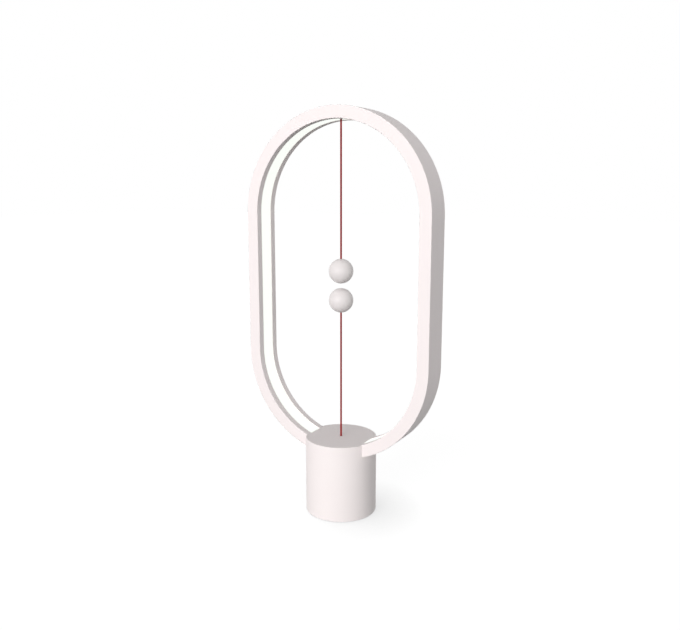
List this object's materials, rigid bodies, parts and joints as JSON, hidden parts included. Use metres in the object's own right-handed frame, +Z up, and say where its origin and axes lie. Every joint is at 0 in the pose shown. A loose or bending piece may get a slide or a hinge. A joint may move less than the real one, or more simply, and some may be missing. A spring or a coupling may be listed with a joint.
{
  "type": "magnetic balance lamp",
  "caption": "Racetrack-shaped table lamp with a light strip along its inner face, a round base, and magnet balls on cords that balance in mid-air; lifting one pulls the switch.",
  "frame": {"origin": "centre of the foot pad's underside, on the table", "axes": "+Z up, +X across the loop, -Y the front, +Y the rear with the power socket"},
  "size_m": [0.2, 0.071, 0.398],
  "materials": {
    "loop_paint": "matte white paint",
    "diffuser": "frosted, lit",
    "led_board": "white solder mask",
    "led_phosphor": "phosphor",
    "wire_sleeve": "smooth sleeve",
    "bush": "smooth",
    "crimp_metal": "bright",
    "cord": "woven red cord",
    "ball": "satin white",
    "magnet": "nickel plated",
    "base_shell": "matte moulded",
    "base_top": "matte moulded",
    "inner_moulding": "moulded",
    "screw_steel": "zinc plated",
    "bottom_moulding": "moulded",
    "foot_rubber": "matte",
    "ballast_steel": "turned",
    "circuit_board": "solder mask",
    "component_body": "moulded",
    "socket_steel": "nickel plated",
    "socket_moulding": "moulded",
    "switch_moulding": "moulded",
    "slider_moulding": "moulded",
    "contact_brass": "bright",
    "spring_steel": "drawn wire"
  },
  "bodies": {
    "base": {"frame_channel": "loop_paint", "diffuser_strip": "diffuser", "led_strip": "led_board", "led_chips": "led_phosphor", "led_leads": "wire_sleeve", "upper_anchor": "bush", "upper_stop_bead": "crimp_metal", "upper_cord_tail": "cord", "base_housing": "base_shell", "top_cover": "base_top", "cord_guide": "bush", "frame_saddle": "inner_moulding", "saddle_screws": "screw_steel", "bottom_cover": "bottom_moulding", "bottom_screws": "screw_steel", "foot_pad": "foot_rubber", "ballast_weight": "ballast_steel", "board_standoffs": "contact_brass", "control_board": "circuit_board", "board_screws": "screw_steel", "board_components": "component_body", "usb_socket": "socket_steel", "usb_insert": "socket_moulding", "switch_case": "switch_moulding", "switch_lid": "switch_moulding", "switch_screws": "screw_steel", "fixed_contacts": "contact_brass", "switch_spring": "spring_steel", "switch_leads": "wire_sleeve"},
    "upper_bend": {"upper_cord_bend": "cord"},
    "upper_pendulum": {"upper_cord": "cord", "upper_ball_cord_half": "ball", "upper_ball_magnet_half": "ball", "upper_magnet": "magnet", "upper_crimp": "crimp_metal"},
    "switch_slide": {"switch_slider": "slider_moulding", "slider_contact": "contact_brass", "lower_cord_tail": "cord", "lower_cord_crimp": "crimp_metal"},
    "lower_bend": {"lower_cord_bend": "cord"},
    "lower_tether": {"lower_cord": "cord"},
    "lower_ball": {"lower_ball_cord_half": "ball", "lower_ball_magnet_half": "ball", "lower_magnet": "magnet", "lower_crimp": "crimp_metal"}
  },
  "joints": [
    {"name": "upper_swing_front_back", "type": "hinge", "parent": "base", "child": "upper_bend", "pos_m": [0, 0, 0.3856], "axis": [1, 0, 0], "range_deg": [-60, 60]},
    {"name": "upper_swing_side", "type": "hinge", "parent": "upper_bend", "child": "upper_pendulum", "pos_m": [0, 0, 0.3856], "axis": [0, 1, 0], "range_deg": [-28, 28]},
    {"name": "switch_pull", "type": "slide", "parent": "base", "child": "switch_slide", "axis": [0, 0, 1], "range_m": [-0.0015, 0], "stiffness_N_per_m": 100, "springref_m": 0.003, "deforming": ["switch_spring"]},
    {"name": "lower_lean_front_back", "type": "hinge", "parent": "switch_slide", "child": "lower_bend", "pos_m": [0, 0, 0.0766], "axis": [1, 0, 0], "range_deg": [-12, 12], "stiffness_Nm_per_rad": 0.06},
    {"name": "lower_lean_side", "type": "hinge", "parent": "lower_bend", "child": "lower_tether", "pos_m": [0, 0, 0.0766], "axis": [0, 1, 0], "range_deg": [-12, 12], "stiffness_Nm_per_rad": 0.06},
    {"name": "lower_ball_drop", "type": "slide", "parent": "lower_tether", "child": "lower_ball", "axis": [0, 0, 1], "range_m": [-0.123, 0], "deforming": ["lower_cord"]}
  ]
}
